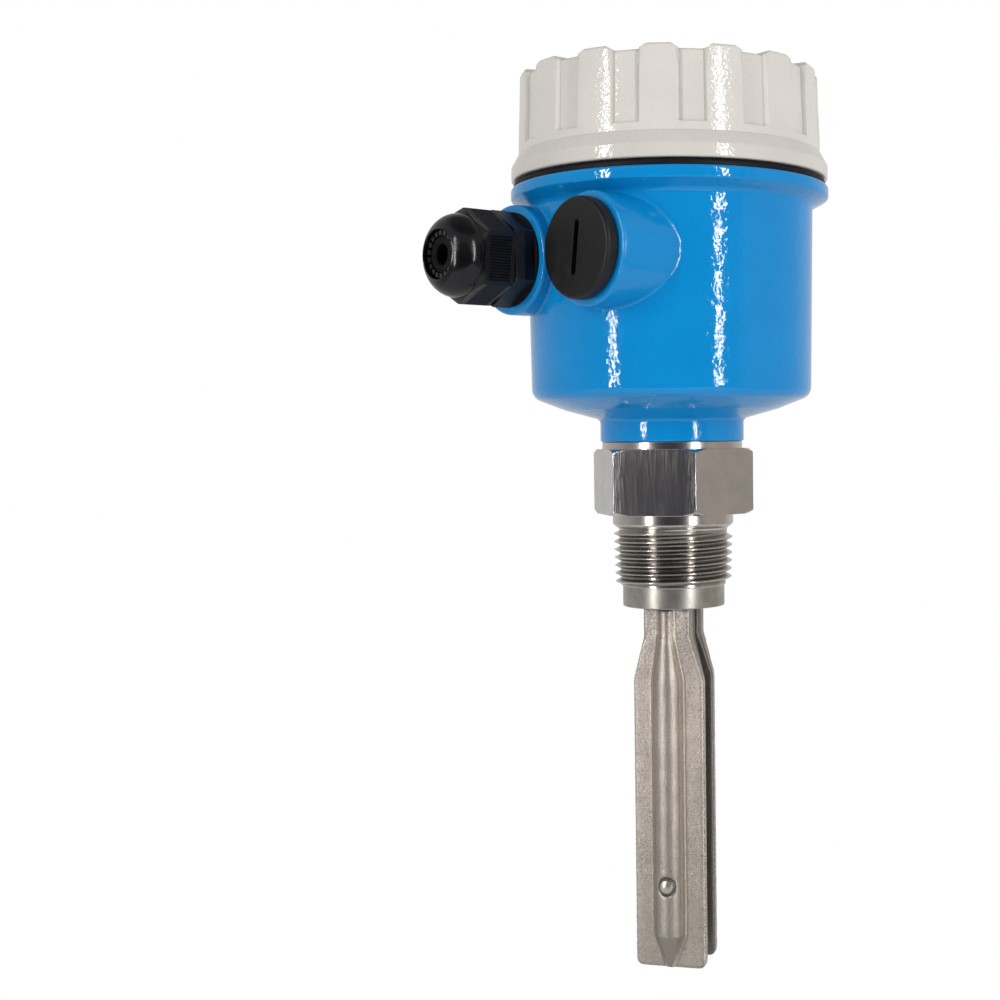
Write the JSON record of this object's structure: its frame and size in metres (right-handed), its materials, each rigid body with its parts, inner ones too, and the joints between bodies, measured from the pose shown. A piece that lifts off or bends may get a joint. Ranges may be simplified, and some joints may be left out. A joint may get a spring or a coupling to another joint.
{
  "type": "vibrating fork level switch",
  "caption": "Screw-in vibrating fork level switch with a painted two-entry housing, a grip-edged screw cover, a cable gland and a blind plug.",
  "frame": {"origin": "on the probe's axis, in the plane of the hexagon's underside", "axes": "+Z along the probe towards the cover, +Y and -Y square to the fork's two paddles"},
  "size_m": [0.101, 0.0988, 0.2475],
  "materials": {
    "blue_paint": "glossy powder coat with light orange peel",
    "grey_paint": "satin powder coat",
    "seal_rubber": "matt",
    "black_polyamide": "moulded, slight sheen",
    "cage_polyamide": "moulded",
    "turned_steel": "fine turned",
    "cast_steel": "rough cast, ground flats",
    "plug_steel": "polished",
    "fastener_steel": "plated",
    "piezo_ceramic": "sintered ceramic",
    "alumina": "sintered ceramic",
    "contact_brass": "bright stamped",
    "lead_cover": "smooth",
    "cup_plastic": "fine textured",
    "board_laminate": "lacquered",
    "relay_plastic": "smooth",
    "core_iron": "varnished",
    "capacitor_sleeve": "smooth",
    "terminal_green": "moulded",
    "switch_red": "smooth",
    "slider_white": "moulded",
    "green_lens": "clear moulded",
    "amber_lens": "clear moulded"
  },
  "bodies": {
    "instrument": {"housing": "blue_paint", "gland_body": "black_polyamide", "gland_washer": "seal_rubber", "process_connector": "turned_steel", "fork": "cast_steel", "tine_plugs": "plug_steel", "drive_stud": "fastener_steel", "piezo_discs": "piezo_ceramic", "electrode_plates": "contact_brass", "insulator_rings": "alumina", "clamp_disc": "fastener_steel", "stack_nut": "fastener_steel", "sensor_leads": "lead_cover", "neck_seal": "seal_rubber", "neck_washer": "fastener_steel", "neck_nut": "fastener_steel", "electronics_cup": "cup_plastic", "circuit_board": "board_laminate", "relay": "relay_plastic", "transformer": "core_iron", "capacitors": "capacitor_sleeve", "terminal_block": "terminal_green", "terminal_screws": "fastener_steel", "terminal_clamps": "contact_brass", "cup_screws": "fastener_steel", "switch_case": "switch_red", "green_lamp": "green_lens", "amber_lamp": "amber_lens", "earth_screw": "contact_brass", "earth_clamp": "fastener_steel"},
    "cover_lift": {"cover_seal": "seal_rubber"},
    "cover_turned": {"cover": "grey_paint"},
    "plug_lift": {"plug_washer": "seal_rubber"},
    "plug_turned": {"blind_plug": "black_polyamide"},
    "nut_lift": {"gland_cage": "cage_polyamide", "gland_sleeve": "seal_rubber"},
    "nut_turned": {"gland_nut": "black_polyamide"},
    "mode_switch": {"mode_slider": "slider_white"},
    "density_switch": {"density_slider": "slider_white"}
  },
  "joints": [
    {"name": "cover_rise", "type": "slide", "parent": "instrument", "child": "cover_lift", "axis": [0, 0, 1], "range_m": [0, 0.01101]},
    {"name": "cover_unscrew", "type": "hinge", "parent": "cover_lift", "child": "cover_turned", "pos_m": [0, 0, 0.1], "axis": [0, 0, 1], "range_deg": [0, 1980]},
    {"name": "plug_out", "type": "slide", "parent": "instrument", "child": "plug_lift", "axis": [-0.5519, -0.8339, 0], "range_m": [0, 0.00901]},
    {"name": "plug_unscrew", "type": "hinge", "parent": "plug_lift", "child": "plug_turned", "pos_m": [-0.01133, -0.04647, 0.0692], "axis": [-0.5519, -0.8339, 0], "range_deg": [0, 2160]},
    {"name": "nut_out", "type": "slide", "parent": "instrument", "child": "nut_lift", "axis": [-0.5519, -0.8339, 0], "range_m": [0, 0.00751]},
    {"name": "nut_unscrew", "type": "hinge", "parent": "nut_lift", "child": "nut_turned", "pos_m": [-0.04387, -0.03692, 0.0692], "axis": [-0.5519, -0.8339, 0], "range_deg": [0, 1800]},
    {"name": "mode_slide", "type": "slide", "parent": "instrument", "child": "mode_switch", "axis": [0.5519, 0.8339, 0], "range_m": [0, 0.002]},
    {"name": "density_slide", "type": "slide", "parent": "instrument", "child": "density_switch", "axis": [0.5519, 0.8339, 0], "range_m": [0, 0.002]}
  ],
  "couplings": [
    {"joint": "cover_rise", "follows": "cover_unscrew", "m_per_rad": 0.00031831},
    {"joint": "plug_out", "follows": "plug_unscrew", "m_per_rad": 0.00023873},
    {"joint": "nut_out", "follows": "nut_unscrew", "m_per_rad": 0.00023873}
  ]
}
